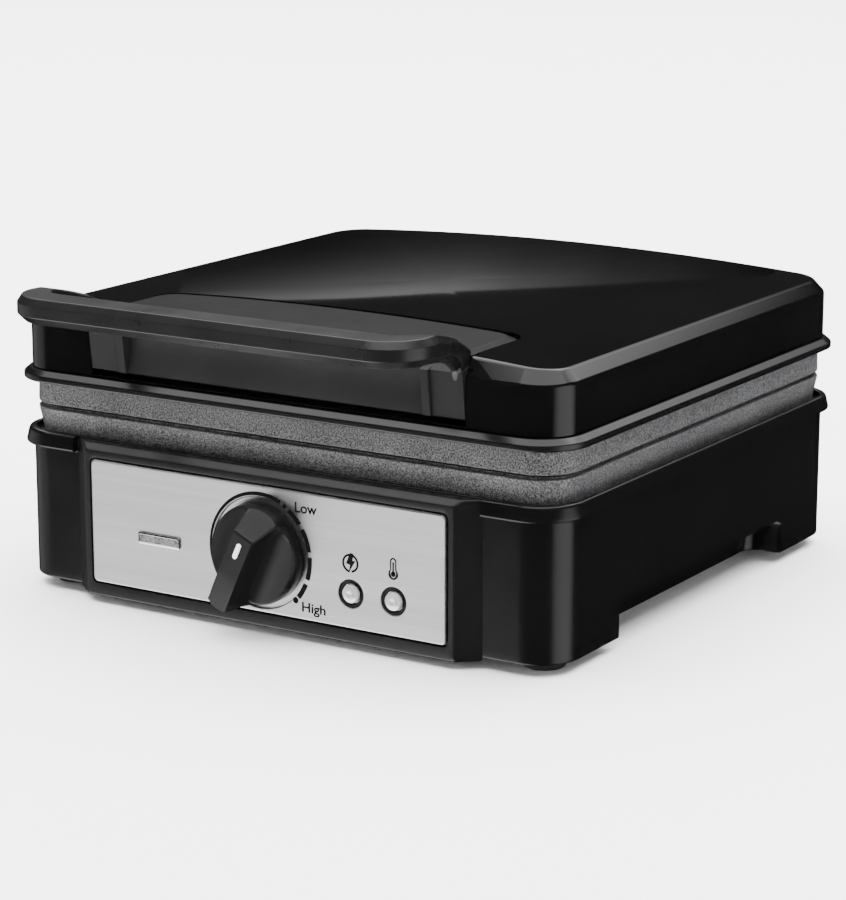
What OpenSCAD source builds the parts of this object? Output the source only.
// Four-slice waffle maker: a base with a control panel, a turning dial and a lid on a rear hinge.
// Millimetres. Z is up and zero on the table, X is to the right seen from the front, the front faces -Y.
// The modules draw the body about its own middle, and in_frame() moves it so that the whole
// machine, handle and hinge included, is centred on the origin.

/* [Base] */
// Width of the base between its side walls
base_w = 270; // [260:1:290]
// Depth of the base between its front and rear walls
base_d = 258; // [250:1:280]
// Radius of the upright corners
corner_r = 18; // [14:1:26]
// Thickness of the moulded walls
wall = 3; // [2.4:0.2:4]
// Height of the rubber feet under the housing
foot_h = 5; // [4:0.5:8]
// Underside of the rim around the top of the base
rim_z = 64; // [60:0.5:70]
// Height of that rim
rim_h = 7; // [6:0.5:9]
// How far the two rims stand out from the walls
overhang = 3.8; // [2:0.1:5]
// Height of the recess in each side, above the table
recess_top = 20.5; // [16:0.5:26]
// Length of the recess in each side
recess_len = 152; // [120:2:170]
// Depth of the recess in each side
recess_deep = 15.5; // [10:0.5:18]

/* [Control panel] */
// Half width of the front of the panel frame
panel_half = 92.5; // [90:0.5:96]
// How far the panel frame stands out from the front wall
panel_out = 7.3; // [6:0.1:9]
// Width of the steel faceplate
steel_w = 177.8; // [170:0.1:178]
// Height of the steel faceplate
steel_h = 53.8; // [48:0.1:54]
// Height of the middle of the faceplate
steel_z = 36.9; // [36:0.1:38]
// Radius of the knob
knob_r = 21.3; // [18:0.1:22]
// How far the knob stands out from the faceplate
knob_out = 19; // [16:0.5:22]
// Turn of the knob pointer at rest, clockwise from straight up
knob_rest = 24.8; // [20:0.2:30]

/* [Baking plates] */
// Width of the baking plates
plate_w = 267.6; // [262:0.4:268]
// Depth of the baking plates
plate_d = 252.4; // [246:0.2:252.4]
// Height of the lower baking plate
lower_h = 12.3; // [11.6:0.1:12.6]
// Height of the upper baking plate
upper_h = 11.5; // [11:0.1:12]
// Height of the joint between the plates
parting_z = 81; // [80.8:0.1:82]
// Depth of each waffle well
well_deep = 9.4; // [8.5:0.1:9.4]
// Height of the studs in the wells
stud_h = 5.6; // [4:0.1:6]
// Studs across one waffle
studs_x = 5; // [3:1:6]
// Studs along one waffle
studs_y = 4; // [3:1:6]
// Width of the flat land around and between the wells
land = 11; // [9:0.5:12]
// Width of the grooves between the studs
groove = 8.5; // [6:0.5:10]

/* [Lid] */
// Height of the lid rim
lid_rim_h = 4.9; // [4:0.1:6]
// Top of the lid's straight walls
lid_wall_z = 118.4; // [112:0.2:122]
// Height of the chamfer above the walls
lid_chamfer = 5.3; // [4:0.1:8]
// Rise of the crowned lid between its side edges and its middle
lid_crown = 5; // [3:0.5:7]
// Hinge axis, measured back from the middle of the base
hinge_y = 137; // [136:0.5:140]
// Hinge axis, height above the table
hinge_z = 84; // [82:0.5:86]
// Radius of the hinge pins
pin_r = 3; // [2.5:0.1:3.5]
// Distance of each hinge from the middle
hinge_x = 85; // [60:1:100]

/* [Handle] */
// Half width of the handle
handle_half = 99; // [95:0.5:101]
// Front of the handle bar, measured from the middle of the base
handle_front = -182.2; // [-186:0.2:-178]
// Top of the handle bar
handle_top = 140.7; // [138:0.1:143]
// Height of the handle bar
bar_h = 11; // [9:0.5:12]
// Depth of the handle bar
bar_d = 17; // [14:0.5:20]
// Outer radius of the handle's corners, seen from above
handle_r = 20; // [18:0.5:24]

/* [Hidden] */

$fn = 64;
eps = 0.01;
run_fit = 0.06;
half_w = base_w / 2;
half_d = base_d / 2;
lug_r = 6.5;
// The middle of the base lies this far behind the middle of the whole machine.
frame_y = -(handle_front + hinge_y + lug_r) / 2;
rim_top = rim_z + rim_h;
plate_gap = 0.4;
ledge_z = parting_z - plate_gap / 2 - lower_h;
plate_r = 17;
plate_fit = 1;
lid_z = parting_z + plate_gap / 2 + upper_h;
shell_z = lid_z + lid_rim_h + 0.1;
lid_edge_z = lid_wall_z + lid_chamfer;
lid_inset = 5;
crown_half = half_w - lid_inset;
crown_r = (crown_half * crown_half + lid_crown * lid_crown) / (2 * lid_crown);
crown_z = lid_edge_z + lid_crown;
boss_x = 98;
boss_y = 112;
foot_x = 119;
foot_y = 110;
cover_t = 2.5;
recess_r = 8;
cover_z = foot_h + 0.2;
panel_y = -half_d - panel_out;
panel_bottom = 3.5;
panel_top = 70.4;
steel_t = 1.6;
steel_proud = 0.4;
steel_y = panel_y - steel_proud;
dish_r = 24;
dish_deep = 1.1;
knob_x = -1.2;
knob_z = 35.3;
knob_face = steel_y - knob_out;
badge_x = -53;
badge_z = 33;
panel_flare = 9;
lamp_x = [43.7, 64.2];
lamp_z = 24.6;
lamp_r = 6;
lens_r = 4.3;
shaft_r = 3;
bush_r = 4.5;
pocket_half = 93.2;
pocket_back = -117.5;
scoop_half = 73.7;
scoop_r = 20.5;
scoop_y = -146.8;
scoop_z = 111.5;
scoop_low = 101.5;
rib_w = 4;
insert_half = 90.5;
insert_front = -122;
insert_back = -79;
insert_raise = 0.6;
insert_gap = 1;
insert_rear_gap = 3;
insert_z = crown_z - 6.2;
leg_out = 92.2;
leg_in = 87.8;
leg_back = pocket_back - 3.3;
well_x = (plate_w - 3 * land) / 4;
well_y = (plate_d - 3 * land) / 4;
well_r = 9;
plate_screw_x = 128.9;
plate_screw_y = 60;
bracket_screw_x = 8;
bracket_screw_z = 50;
knuckle_screw_x = 6.5;
knuckle_screw_z = shell_z + 13.5;
lid_boss_x = 112;
lid_boss_y = 117;
heater_r = 3.2;
heater_x = 84;
heater_y = 78;
heater_bend = 20;
fuse_z = ledge_z - 2.4;
heater_z = ledge_z - heater_r - 0.1;
upper_heater_z = lid_z + heater_r + 0.1;
gland_x = -52;
gland_z = 30;

// Move a module from the middle of the base into the shared frame.
module in_frame() {
    translate([0, frame_y, 0]) children();
}

// Plan outline with half sizes hx and hy and round corners.
module outline(hx, hy, r) {
    union() {
        square([2 * (hx - r), 2 * hy], center = true);
        square([2 * hx, 2 * (hy - r)], center = true);
        for (sx = [-1, 1], sy = [-1, 1]) {
            translate([sx * (hx - r), sy * (hy - r)]) circle(r);
        }
    }
}

// The same outline as an upright prism from z0 to z1.
module prism(hx, hy, r, z0, z1) {
    translate([0, 0, z0]) linear_extrude(z1 - z0) outline(hx, hy, r);
}

// The four screws that hold a baking plate.
module at_plate_screws() {
    for (sx = [-1, 1], sy = [-1, 1]) {
        translate([sx * plate_screw_x, sy * plate_screw_y, 0]) children();
    }
}

// The four screws between the lid rim and the lid shell.
module at_lid_bosses() {
    for (sx = [-1, 1], sy = [-1, 1]) {
        translate([sx * lid_boss_x, sy * lid_boss_y, 0]) children();
    }
}

// A straight rod along X, Y or Z.
module rod_x(r, x0, x1) {
    translate([x0, 0, 0]) rotate([0, 90, 0]) cylinder(r = r, h = x1 - x0);
}
module rod_y(r, y0, y1) {
    translate([0, y1, 0]) rotate([90, 0, 0]) cylinder(r = r, h = y1 - y0);
}
module rod_z(r, z0, z1) {
    translate([0, 0, z0]) cylinder(r = r, h = z1 - z0);
}

// A profile drawn as [y, z] points, made solid between x0 and x1.
module across(x0, x1) {
    translate([x0, 0, 0]) rotate([90, 0, 90]) linear_extrude(x1 - x0) children();
}

// A profile drawn as [x, z] points, made solid between y0 and y1.
module along(y0, y1) {
    translate([0, y1, 0]) rotate([90, 0, 0]) linear_extrude(y1 - y0) children();
}

// Points of an arc about [cy, cz], from angle a0 to a1.
function arc(cy, cz, r, a0, a1, n = 10) =
    [for (i = [0 : n]) [cy + r * cos(a0 + (a1 - a0) * i / n), cz + r * sin(a0 + (a1 - a0) * i / n)]];

// ---- Base ----

module recess_block(out, deep, top, r) {
    inner_x = half_w - deep;
    for (s = [-1, 1]) {
        translate([s * (inner_x + out / 2), 0, foot_h - 1]) linear_extrude(top - foot_h + 1)
            outline(out / 2, recess_len / 2 + (top - recess_top), r);
    }
}

module housing_walls() {
    difference() {
        prism(half_w, half_d, corner_r, foot_h, rim_z);
        prism(half_w - wall, half_d - wall, corner_r - wall, foot_h - eps, rim_z + eps);
    }
}

module housing_rim() {
    difference() {
        prism(half_w + overhang, half_d + overhang, corner_r + overhang, rim_z, rim_top);
        prism(plate_w / 2 - 6.8, plate_d / 2 - 6.8, plate_r - 6.8, rim_z - eps, rim_top + eps);
        prism(plate_w / 2 + plate_fit, plate_d / 2 + plate_fit, plate_r + plate_fit,
            ledge_z, rim_top + eps);
    }
}

module recess_shell() {
    intersection() {
        prism(half_w, half_d, corner_r, foot_h, rim_z);
        recess_block(60, recess_deep + wall, recess_top + wall, recess_r + 2);
    }
}

module housing_bosses() {
    for (sx = [-1, 1], sy = [-1, 1]) {
        translate([sx * boss_x, sy * boss_y, 0]) rod_z(4.5, cover_z + cover_t + 0.1, 30);
        translate([sx * boss_x - 1.2, sy > 0 ? boss_y : 0.5 - half_d + wall - 1, 8.5])
            cube([2.4, half_d - wall - boss_y + 0.5, 21]);
    }
}

module base_housing() {
    in_frame() color([0.07, 0.07, 0.07]) difference() {
        union() {
            housing_walls();
            housing_rim();
            recess_shell();
            housing_bosses();
        }
        recess_block(60, recess_deep, recess_top, recess_r);
        for (sx = [-1, 1], sy = [-1, 1]) {
            translate([sx * boss_x, sy * boss_y, 0]) rod_z(1.3, foot_h, 26);
        }
        at_plate_screws() rod_z(1.4, rim_z - 1, rim_top);
        // The window behind the control panel, and the break in the rim for its frame.
        translate([-60, -half_d - 1, 14]) cube([140, wall + 2, 42]);
        translate([-panel_half - panel_flare - 0.2, -half_d - 10, panel_bottom])
            cube([2 * (panel_half + panel_flare) + 0.4, 10, rim_top]);
        // The breaks in the rim for the hinge brackets.
        for (s = [-1, 1]) {
            translate([s * hinge_x - 20, half_d + 0.02, rim_z - 6]) cube([40, 10, rim_h + 8]);
        }
        translate([gland_x, 0, gland_z]) rod_y(6.3, half_d - wall - 1, half_d + 1);
        for (s = [-1, 1], k = [-1, 1]) {
            translate([s * hinge_x + k * bracket_screw_x, 0, bracket_screw_z])
                rod_y(1.3, half_d - wall - 1, half_d + 1);
        }
    }
}

module bottom_cover() {
    in_frame() color([0.1, 0.1, 0.1]) difference() {
        prism(half_w - wall - 0.3, half_d - wall - 0.3, corner_r - wall - 0.3, cover_z, cover_z + cover_t);
        recess_block(60, recess_deep + wall + 0.3, recess_top + wall + 0.3, recess_r + 2.3);
        for (sx = [-1, 1], sy = [-1, 1]) {
            translate([sx * boss_x, sy * boss_y, 0]) rod_z(1.8, foot_h, 10);
            translate([sx * foot_x, sy * foot_y, 0]) rod_z(3.5, foot_h, 10);
        }
        for (i = [-4 : 4], s = [-1, 1]) {
            translate([i * 14, s * 48, foot_h]) linear_extrude(5) outline(2, 22, 1.9);
        }
    }
}

module rubber_feet() {
    in_frame() color([0.05, 0.05, 0.05]) for (sx = [-1, 1], sy = [-1, 1]) {
        translate([sx * foot_x, sy * foot_y, 0]) union() {
            cylinder(r1 = 8.9, r2 = 9.6, h = cover_z);
            rod_z(3.4, cover_z - 1, cover_z + cover_t + 0.8);
            rod_z(4.6, cover_z + cover_t + 0.05, cover_z + cover_t + 1.4);
        }
    }
}

module cover_screws() {
    in_frame() color([0.75, 0.75, 0.77]) for (sx = [-1, 1], sy = [-1, 1]) {
        translate([sx * boss_x, sy * boss_y, 0]) difference() {
            union() {
                rod_z(1.2, cover_z - 1, 22);
                rod_z(3, cover_z - 1.7, cover_z - 0.02);
            }
            translate([-2, -0.35, cover_z - 2]) cube([4, 0.7, 1]);
            translate([-0.35, -2, cover_z - 2]) cube([0.7, 4, 1]);
        }
    }
}

module cord_gland() {
    in_frame() color([0.06, 0.06, 0.06]) translate([gland_x, 0, gland_z]) difference() {
        union() {
            rod_y(6.1, half_d - wall - 4, half_d + 5);
            rod_y(8, half_d + 0.05, half_d + 2.5);
            rod_y(7.6, half_d - wall - 3, half_d - wall - 0.05);
        }
        rod_y(3.7, half_d - wall - 5, half_d + 6);
    }
}

// ---- Control panel ----

// Frame plan: a flat front whose sides flare back to the wall.
module bezel_block() {
    intersection() {
        translate([0, 0, panel_bottom]) linear_extrude(panel_top - panel_bottom)
            polygon([[-panel_half - panel_flare, -half_d], [-panel_half, panel_y], [panel_half, panel_y],
                [panel_half + panel_flare, -half_d]]);
        across(-panel_half - panel_flare - 1, panel_half + panel_flare + 1)
            polygon([[-half_d - 0.03, panel_bottom], [panel_y + 0.8, panel_bottom],
                [panel_y - eps, panel_bottom + 0.8], [panel_y - eps, panel_top - 2.6],
                [panel_y + 3.2, panel_top], [-half_d - 0.03, panel_top]]);
    }
}

module steel_outline(grow, r) {
    translate([0, steel_z]) outline(steel_w / 2 + grow, steel_h / 2 + grow, r);
}

module front_bezel() {
    in_frame() color([0.09, 0.09, 0.09]) difference() {
        bezel_block();
        along(panel_y - 1, panel_y + steel_t - steel_proud) steel_outline(0.9, 2.8);
        translate([-84, -half_d - 2.4, 13]) cube([168, 5, 47]);
        translate([knob_x, 0, knob_z]) rod_y(bush_r + 0.15, panel_y - 1, -half_d + 1);
        for (x = lamp_x) {
            translate([x, 0, lamp_z]) rod_y(lamp_r + 0.05, panel_y - 1, -half_d + 1);
        }
    }
}

module steel_faceplate() {
    in_frame() color([0.78, 0.78, 0.78]) difference() {
        along(steel_y, steel_y + steel_t - 0.02) steel_outline(0, 2.2);
        translate([knob_x, steel_y + dish_deep, knob_z]) rotate([90, 0, 0])
            cylinder(r1 = dish_r - 1.4, r2 = dish_r + 0.01, h = dish_deep + 0.01);
        translate([knob_x, 0, knob_z]) rod_y(bush_r + 0.15, steel_y - 1, steel_y + 3);
        for (x = lamp_x) {
            translate([x, 0, lamp_z]) rod_y(lamp_r + 0.05, steel_y - 1, steel_y + 3);
        }
    }
}

module blank_badge() {
    in_frame() color([0.85, 0.85, 0.87]) translate([badge_x, 0, badge_z])
        along(steel_y - 0.7, steel_y - 0.02) outline(11, 2.6, 1);
}

module lamp_holders() {
    in_frame() color([0.03, 0.03, 0.03]) for (x = lamp_x) {
        translate([x, 0, lamp_z]) difference() {
            union() {
                rod_y(lamp_r - 0.05, steel_y + 0.5, -half_d + 8);
                rod_y(lamp_r + 1.5, -half_d - 2.3, -half_d - 0.3);
            }
            rod_y(lens_r + 0.1, steel_y - 1, steel_y + 4.5);
            rod_y(3.2, steel_y + 4, -half_d + 9);
        }
    }
}

// A clear lens with a domed face.
module lens(x) {
    dome = 5.2;
    face_y = steel_y - 1.3;
    in_frame() color([0.9, 0.9, 0.92]) translate([x, 0, lamp_z]) intersection() {
        rod_y(lens_r, face_y - 1, steel_y + 4.4);
        translate([0, face_y + dome, 0]) union() {
            sphere(dome);
            rod_y(lens_r, 0, 3);
        }
    }
}

module power_lens() {
    lens(lamp_x[0]);
}

module ready_lens() {
    lens(lamp_x[1]);
}

module neon_lamps() {
    in_frame() color([0.9, 0.5, 0.2]) for (x = lamp_x) {
        translate([x, 0, lamp_z]) union() {
            rod_y(2.8, steel_y + 5, -half_d + 14);
            rod_y(3.1, -half_d + 9, -half_d + 14);
        }
    }
}

module thermostat_body() {
    in_frame() color([0.8, 0.78, 0.7]) translate([knob_x, 0, knob_z]) difference() {
        union() {
            translate([-19, -half_d + wall + 0.3, -11]) cube([38, 26, 22]);
            rod_y(bush_r, steel_y - 2.6, -half_d + 4);
            translate([-15, -half_d + wall + 0.3 + 25.9, -8]) cube([30, 5, 16]);
        }
        rod_y(shaft_r + run_fit, steel_y - 3, -half_d + 22);
    }
}

module thermostat_nut() {
    in_frame() color([0.75, 0.72, 0.6]) translate([knob_x, 0, knob_z]) difference() {
        translate([0, steel_y + dish_deep - 0.02, 0]) rotate([90, 0, 0]) cylinder(r = 7.4, h = 2.3, $fn = 6);
        rod_y(bush_r + 0.05, steel_y - 4, steel_y + 4);
    }
}

module thermostat_shaft() {
    in_frame() color([0.7, 0.7, 0.72]) translate([knob_x, 0, knob_z]) difference() {
        rod_y(shaft_r, steel_y - 14, -half_d + 20);
        rotate([0, knob_rest, 0]) translate([-4, steel_y - 15, 1.7]) cube([8, 10, 4]);
    }
}

// Knob: a domed skirt with a bar across it for the fingers, hollow behind.
module knob() {
    back = steel_y + 0.5;
    in_frame() color([0.1, 0.1, 0.1]) translate([knob_x, 0, knob_z]) rotate([0, knob_rest, 0]) difference() {
        union() {
            rotate([90, 0, 0]) rotate_extrude() translate([0, -back]) polygon(concat(
                [[0, 0], [knob_r, 0], [knob_r, 3.2]],
                [for (a = [8 : 8 : 64]) [knob_r - 6 + 6 * cos(a), 3.2 + 6 * sin(a)]],
                [[10, 12], [0, 12.6]]));
            hull() {
                translate([0, knob_face, -23.2]) rotate([-90, 0, 0]) linear_extrude(1) outline(3.9, 1.4, 1.3);
                translate([0, knob_face, 11]) rotate([-90, 0, 0]) linear_extrude(1) outline(3.9, 1.4, 1.3);
                translate([-6, back - 9, -22]) cube([12, 5, 38]);
            }
        }
        rod_y(13, back - 6, back + 1);
        rod_y(shaft_r + 0.05, steel_y - 14.2, back + 1);
    }
}

// The white line on the front of the knob's bar.
module knob_index() {
    in_frame() color([0.95, 0.95, 0.95]) translate([knob_x, 0, knob_z]) rotate([0, knob_rest, 0])
        translate([0, 0, 5.2]) along(knob_face - 0.25, knob_face - 0.02) outline(0.85, 3.6, 0.8);
}

module terminal_block() {
    in_frame() color([0.85, 0.85, 0.8]) translate([gland_x, 96, cover_z + cover_t + 0.1]) difference() {
        translate([-18, -8, 0]) cube([36, 16, 16]);
        for (i = [-1, 0, 1]) {
            translate([i * 11, 0, 8]) rod_y(2.4, -9, 9);
            translate([i * 11, 0, 0]) rod_z(1.9, 6, 17);
        }
    }
}

module thermal_fuse() {
    in_frame() color([0.6, 0.6, 0.62]) translate([0, 20, fuse_z]) union() {
        rod_x(2.2, -9, 9);
        rod_x(0.6, -22, 22);
    }
}

// ---- Baking plates ----

// The four wells, seen from above.
module wells() {
    for (sx = [-1, 1], sy = [-1, 1]) {
        translate([sx * (well_x + land / 2), sy * (well_y + land / 2)]) outline(well_x, well_y, well_r);
    }
}

// The studs that press the pattern into each waffle.
module studs() {
    pitch_x = 2 * well_x / studs_x;
    pitch_y = 2 * well_y / studs_y;
    for (sx = [-1, 1], sy = [-1, 1], i = [0 : studs_x - 1], j = [0 : studs_y - 1]) {
        translate([sx * (well_x + land / 2) - well_x + (i + 0.5) * pitch_x,
            sy * (well_y + land / 2) - well_y + (j + 0.5) * pitch_y])
            square([pitch_x - groove, pitch_y - groove], center = true);
    }
}

// One cast plate of height h with its wells facing up, its joint face at z = 0.
module cast_plate(h) {
    difference() {
        prism(plate_w / 2, plate_d / 2, plate_r, -h, 0);
        translate([0, 0, -well_deep]) linear_extrude(well_deep + 1) wells();
        at_plate_screws() rod_z(1.25, -h - 1, -h + 5);
    }
    translate([0, 0, -well_deep - 0.5]) linear_extrude(stud_h + 0.5) studs();
}

module lower_plate() {
    in_frame() color([0.36, 0.36, 0.38]) translate([0, 0, parting_z - plate_gap / 2])
        cast_plate(lower_h);
}

module upper_plate() {
    in_frame() color([0.36, 0.36, 0.38]) translate([0, 0, parting_z + plate_gap / 2])
        rotate([180, 0, 0]) cast_plate(upper_h);
}

// Screws that hold a plate to its ledge, heads down, with the joint of ledge and plate at z = 0.
module plate_screws(ledge_t) {
    at_plate_screws() union() {
        rod_z(1.2, -ledge_t - 1, 4.6);
        rod_z(2.4, -ledge_t - 1.9, -ledge_t - 0.03);
    }
}

module lower_plate_screws() {
    in_frame() color([0.75, 0.75, 0.77]) translate([0, 0, ledge_z]) plate_screws(ledge_z - rim_z);
}

module upper_plate_screws() {
    in_frame() color([0.75, 0.75, 0.77]) translate([0, 0, lid_z]) rotate([180, 0, 0])
        plate_screws(shell_z - 0.1 - lid_z);
}

// A tubular element bent into a round-cornered loop.
module heater_loop(hx, hy, bend) {
    for (sx = [-1, 1], sy = [-1, 1]) {
        translate([sx * (hx - bend), sy * (hy - bend), 0])
            rotate([0, 0, sx > 0 ? (sy > 0 ? 0 : 270) : (sy > 0 ? 90 : 180)])
                rotate_extrude(angle = 90) translate([bend, 0]) circle(heater_r, $fn = 32);
    }
    for (s = [-1, 1]) {
        translate([0, s * hy, 0]) rod_x(heater_r, -(hx - bend), hx - bend);
        translate([s * hx, 0, 0]) rod_y(heater_r, -(hy - bend), hy - bend);
    }
}

module lower_heater() {
    in_frame() color([0.3, 0.3, 0.32]) translate([0, 0, heater_z])
        heater_loop(heater_x, heater_y, heater_bend);
}

module upper_heater() {
    in_frame() color([0.3, 0.3, 0.32]) translate([0, 0, upper_heater_z])
        heater_loop(heater_x, heater_y, heater_bend);
}

// A sheet pan that turns the heat back to its plate.
module reflector(z0, z1) {
    difference() {
        prism(112, 104, 12, min(z0, z1) - 0.4, max(z0, z1) + 0.4);
        prism(111.2, 103.2, 11.2, z0 < z1 ? z0 + 0.4 : z1 - 1, z0 < z1 ? z1 + 1 : z0 - 0.4);
    }
}

module lower_reflector() {
    in_frame() color([0.82, 0.82, 0.8]) reflector(54, 60);
}

module upper_reflector() {
    in_frame() color([0.82, 0.82, 0.8]) reflector(108, 102);
}

// ---- Rear hinge ----

module hinge_bracket(s) {
    in_frame() color([0.12, 0.12, 0.12]) translate([s * hinge_x, 0, 0]) difference() {
        union() {
            translate([-17, half_d + 0.05, 40]) cube([34, 3, 36]);
            for (x0 = [-17, 11]) {
                across(x0, x0 + 6) union() {
                    polygon([[half_d + 0.05, 46], [half_d + 5, 46], [hinge_y + lug_r, hinge_z],
                        [hinge_y - lug_r, hinge_z], [half_d + 0.05, 76]]);
                    translate([hinge_y, hinge_z]) circle(lug_r);
                }
            }
        }
        translate([0, hinge_y, hinge_z]) rod_x(pin_r + 0.03, -18, 18);
        for (k = [-1, 1]) {
            translate([k * bracket_screw_x, 0, bracket_screw_z]) rod_y(1.7, half_d - 1, half_d + 4);
        }
    }
}

module hinge_bracket_left() {
    hinge_bracket(-1);
}

module hinge_bracket_right() {
    hinge_bracket(1);
}

module bracket_screws() {
    in_frame() color([0.75, 0.75, 0.77]) for (s = [-1, 1], k = [-1, 1]) {
        translate([s * hinge_x + k * bracket_screw_x, 0, bracket_screw_z]) union() {
            rod_y(1.2, half_d - 8, half_d + 4);
            rod_y(2.9, half_d + 3.1, half_d + 4.8);
        }
    }
}

module hinge_pin(s) {
    in_frame() color([0.7, 0.7, 0.72]) translate([s * hinge_x, hinge_y, hinge_z]) union() {
        rod_x(pin_r, -18.6, 18.6);
        rod_x(pin_r + 1.6, s > 0 ? 17.1 : -19.1, s > 0 ? 19.1 : -17.1);
    }
}

module hinge_pin_left() {
    hinge_pin(-1);
}

module hinge_pin_right() {
    hinge_pin(1);
}

module lid_knuckle(s) {
    in_frame() color([0.12, 0.12, 0.12]) translate([s * hinge_x, 0, 0]) difference() {
        union() {
            translate([-10.5, half_d + 0.05, shell_z + 0.8]) cube([21, 3, 17]);
            across(-10.5, 10.5) union() {
                polygon([[half_d + 0.05, shell_z + 0.8], [half_d + 0.05, shell_z + 9],
                    [hinge_y + lug_r - 1, shell_z - 2], [hinge_y + lug_r, hinge_z],
                    [hinge_y - lug_r, hinge_z], [hinge_y - lug_r, shell_z - 5]]);
                translate([hinge_y, hinge_z]) circle(lug_r - 0.1);
            }
        }
        translate([0, hinge_y, hinge_z]) rod_x(pin_r + run_fit, -12, 12);
        for (k = [-1, 1]) {
            translate([k * knuckle_screw_x, 0, knuckle_screw_z]) rod_y(1.7, half_d - 1, half_d + 4);
        }
    }
}

module lid_knuckle_left() {
    lid_knuckle(-1);
}

module lid_knuckle_right() {
    lid_knuckle(1);
}

module knuckle_screws() {
    in_frame() color([0.75, 0.75, 0.77]) for (s = [-1, 1], k = [-1, 1]) {
        translate([s * hinge_x + k * knuckle_screw_x, 0, knuckle_screw_z]) union() {
            rod_y(1.2, half_d - 8, half_d + 4);
            rod_y(2.9, half_d + 3.1, half_d + 4.8);
        }
    }
}

// ---- Lid ----

module lid_rim() {
    in_frame() color([0.07, 0.07, 0.07]) difference() {
        prism(half_w + overhang, half_d + overhang, corner_r + overhang, lid_z + 0.02, shell_z - 0.1);
        prism(124, 112, 10, lid_z - 1, shell_z + 1);
        for (s = [-1, 1]) {
            translate([s * hinge_x - 11.5, half_d + 0.02, lid_z - 1]) cube([23, 10, 10]);
        }
        at_plate_screws() rod_z(1.4, lid_z - 1, shell_z + 1);
        at_lid_bosses() rod_z(1.4, lid_z - 1, shell_z + 1);
        at_lid_bosses() rod_z(3, lid_z - 1, lid_z + 2.2);
    }
}

// Points [x, z] of the crowned top, between -half and half, whose middle is at z = top.
function crown_at(x, top) = top - crown_r + sqrt(crown_r * crown_r - x * x);
function crown(half, top, n = 24) =
    [for (i = [0 : n]) let (x = half - 2 * half * i / n) [x, crown_at(x, top)]];

// Outside of the lid: straight walls, a chamfer all round and a top crowned from side to side.
module lid_body(shrink) {
    top_half = crown_half - shrink;
    union() {
        prism(half_w - shrink, half_d - shrink, corner_r - shrink, shell_z, lid_wall_z);
        hull() {
            prism(half_w - shrink, half_d - shrink, corner_r - shrink, lid_wall_z - 1, lid_wall_z);
            intersection() {
                prism(top_half, half_d - shrink - lid_inset, corner_r - shrink - 3, lid_wall_z - 1,
                    crown_z + 1);
                along(-half_d, half_d) polygon(concat(
                    [[-top_half, lid_wall_z - 2], [top_half, lid_wall_z - 2]],
                    crown(top_half, crown_z - shrink)));
            }
        }
    }
}

module lid_bosses() {
    at_lid_bosses() rod_z(4.2, shell_z, shell_z + 16);
    for (sx = [-1, 1], sy = [-1, 1]) {
        translate([sx * lid_boss_x - 1.2, sy > 0 ? lid_boss_y : 0.5 - half_d + wall - 1, shell_z])
            cube([2.4, half_d - wall - lid_boss_y + 0.5, 16]);
    }
}

// The side walls of the pocket behind the front wall.
module pocket_sides() {
    intersection() {
        lid_body(1);
        for (s = [-1, 1]) {
            translate([s * (pocket_half + 1) - 1, -half_d + 2, shell_z])
                cube([2, half_d - 2 + pocket_back, crown_z]);
        }
    }
}

module lid_shell() {
    in_frame() color([0.05, 0.05, 0.05]) difference() {
        union() {
            difference() {
                lid_body(0);
                translate([0, 0, -eps]) lid_body(wall);
            }
            lid_bosses();
            pocket_sides();
        }
        at_lid_bosses() rod_z(1.3, shell_z - 1, shell_z + 14);
        translate([-pocket_half, -half_d - 1, shell_z + 0.8])
            cube([2 * pocket_half, half_d + pocket_back + 1, 40]);
        translate([-insert_half - insert_gap, -half_d - 1, shell_z + 0.8])
            cube([2 * (insert_half + insert_gap), half_d + 1 + insert_back + insert_rear_gap, 40]);
        for (s = [-1, 1], k = [-1, 1]) {
            translate([s * hinge_x + k * knuckle_screw_x, 0, knuckle_screw_z])
                rod_y(1.3, half_d - wall - 1, half_d + 1);
        }
    }
}

module lid_screws() {
    in_frame() color([0.75, 0.75, 0.77]) at_lid_bosses() union() {
        rod_z(1.2, lid_z + 1, shell_z + 12);
        rod_z(2.8, lid_z + 0.2, lid_z + 2.1);
    }
}

// The insert in the lid top between the handle arms: crowned like the lid, with sloping sides.
module handle_plate() {
    side = 2.8;
    in_frame() color([0.2, 0.2, 0.2]) intersection() {
        translate([0, 0, insert_z - 1]) linear_extrude(20) union() {
            translate([0, (insert_back + insert_front) / 2])
                outline(insert_half, (insert_back - insert_front) / 2, 8);
            translate([-insert_half, insert_front]) square([2 * insert_half, 20]);
        }
        along(insert_front - 1, insert_back + 1) polygon(concat(
            [[-insert_half, insert_z + side], [-insert_half, insert_z],
                [insert_half, insert_z], [insert_half, insert_z + side]],
            crown(insert_half - side, crown_z + insert_raise)));
    }
}

// Section of the panel behind the handle bar, hollowed a little for the fingers.
module scoop_profile() {
    polygon(concat([[leg_back + 0.3, scoop_low]], arc(scoop_y, scoop_z, scoop_r, -29, 29, 12),
        [[insert_front - 3, insert_z - 0.3], [leg_back + 0.3, insert_z - 0.3]]));
}

// Section of the rib at each end of that panel.
module rib_profile() {
    polygon([[leg_back + 0.3, scoop_low], [-half_d - 1.2, scoop_low], [-half_d - 3.6, insert_z - 2],
        [insert_front - 5, insert_z - 0.3], [leg_back + 0.3, insert_z - 0.3]]);
}

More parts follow.
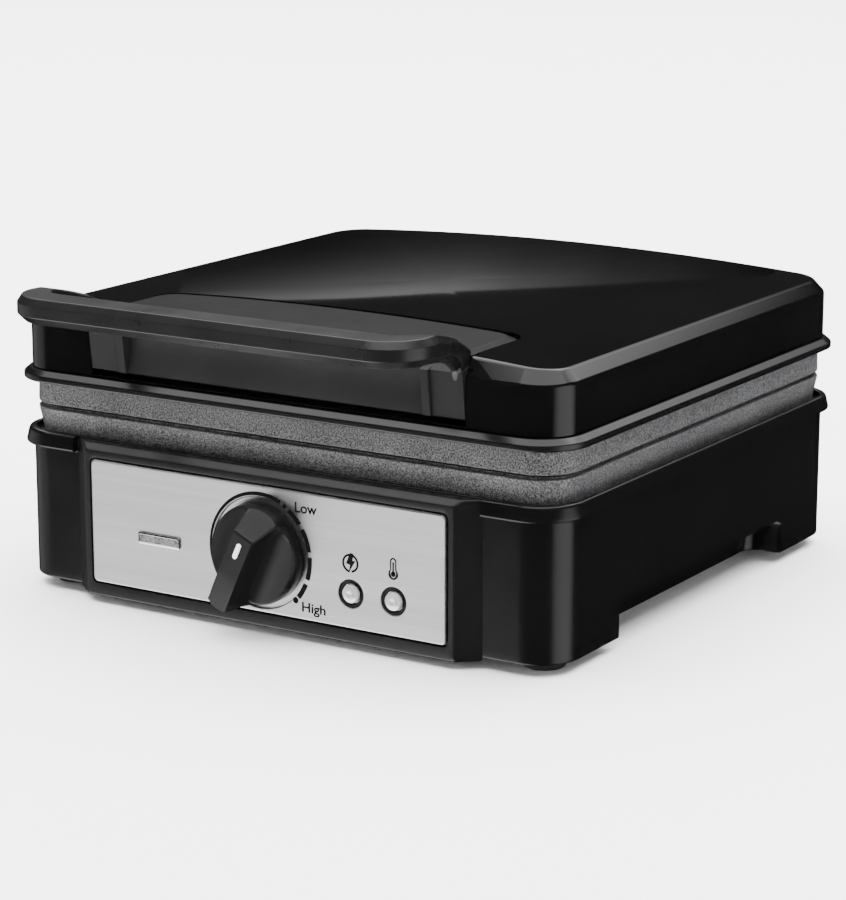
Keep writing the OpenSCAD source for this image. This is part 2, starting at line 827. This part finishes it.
module handle_scoop() {
    in_frame() color([0.22, 0.22, 0.22]) difference() {
        union() {
            across(-scoop_half, scoop_half) scoop_profile();
            for (s = [-1, 1]) {
                translate([s * (scoop_half + (rib_w - eps) / 2), 0, 0])
                    across(-(rib_w + eps) / 2, (rib_w + eps) / 2) rib_profile();
            }
            translate([-pocket_half + 0.4, leg_back + 0.3, shell_z + 0.9])
                cube([2 * pocket_half - 0.8, 2.7, insert_z - 1.2 - shell_z]);
        }
        at_handle_screws() rod_y(1.7, leg_back - 1, pocket_back + 1);
    }
}

// ---- Handle ----

module at_handle_screws() {
    for (s = [-1, 1]) {
        translate([s * (leg_in + leg_out) / 2, 0, shell_z + 13]) children();
    }
}

module handle_screws() {
    in_frame() color([0.75, 0.75, 0.77]) at_handle_screws() union() {
        rod_y(1.1, leg_back - 8, pocket_back + 1);
        rod_y(2.8, pocket_back + 0.05, pocket_back + 1.8);
    }
}

// Section of the bar, [y, z] from its front lower corner: a flat top and chamfers at the front.
module bar_section() {
    polygon([[0, 3.1], [0, bar_h - 2.6], [3, bar_h], [bar_d - 1.5, bar_h], [bar_d, bar_h - 1.5],
        [bar_d, 2], [bar_d - 2, 0], [3.2, 0]]);
}

// One slice of an arm at y, with its x and z ranges, on side s.
module arm_slice(s, y, x0, x1, z0, z1) {
    translate([s > 0 ? x0 : -x1, y, z0]) cube([x1 - x0, 0.02, z1 - z0]);
}

// An arm runs back from the bar and down over the lid's front edge, and a leg stands below it.
module handle_arm(s) {
    bar_z = handle_top - bar_h;
    end_y = handle_front + handle_r;
    slices = [
        [end_y, handle_half - bar_d, handle_half, bar_z, handle_top],
        [end_y + 17, leg_in - 3.3, handle_half - 1.2, bar_z - 1.5, handle_top - 2.9],
        [-half_d - 0.5, leg_in - 2, leg_out + 0.6, bar_z - 9.8, handle_top - 8.5],
        [insert_front - 0.4, leg_in - 1.5, leg_out, insert_z, crown_z - 0.9]];
    for (i = [0 : len(slices) - 2]) {
        hull() {
            for (k = [i, i + 1]) {
                arm_slice(s, slices[k][0], slices[k][1], slices[k][2], slices[k][3], slices[k][4]);
            }
        }
    }
    translate([s > 0 ? leg_in : -leg_out, -half_d - 2, scoop_low])
        cube([leg_out - leg_in, half_d + 2 + leg_back, insert_z - 0.4 - scoop_low]);
}

module handle() {
    straight = handle_half - handle_r;
    in_frame() color([0.16, 0.16, 0.16]) difference() {
        union() {
            translate([0, handle_front, handle_top - bar_h]) across(-straight, straight) bar_section();
            for (s = [-1, 1]) {
                translate([s * straight, handle_front + handle_r, handle_top - bar_h])
                    rotate([0, 0, s > 0 ? -90 : 180]) rotate_extrude(angle = 90)
                        translate([handle_r, 0]) mirror([1, 0]) bar_section();
                handle_arm(s);
            }
        }
        at_handle_screws() rod_y(1.2, leg_back - 9, leg_back + 1);
    }
}

base_housing();
bottom_cover();
rubber_feet();
cover_screws();
front_bezel();
steel_faceplate();
blank_badge();
lamp_holders();
power_lens();
ready_lens();
neon_lamps();
thermostat_body();
thermostat_nut();
terminal_block();
thermal_fuse();
cord_gland();
lower_plate();
lower_plate_screws();
lower_heater();
lower_reflector();
hinge_bracket_left();
hinge_bracket_right();
bracket_screws();
hinge_pin_left();
hinge_pin_right();
thermostat_shaft();
knob();
knob_index();
lid_shell();
lid_rim();
lid_screws();
upper_plate();
upper_plate_screws();
upper_heater();
upper_reflector();
lid_knuckle_left();
lid_knuckle_right();
knuckle_screws();
handle_plate();
handle_scoop();
handle();
handle_screws();
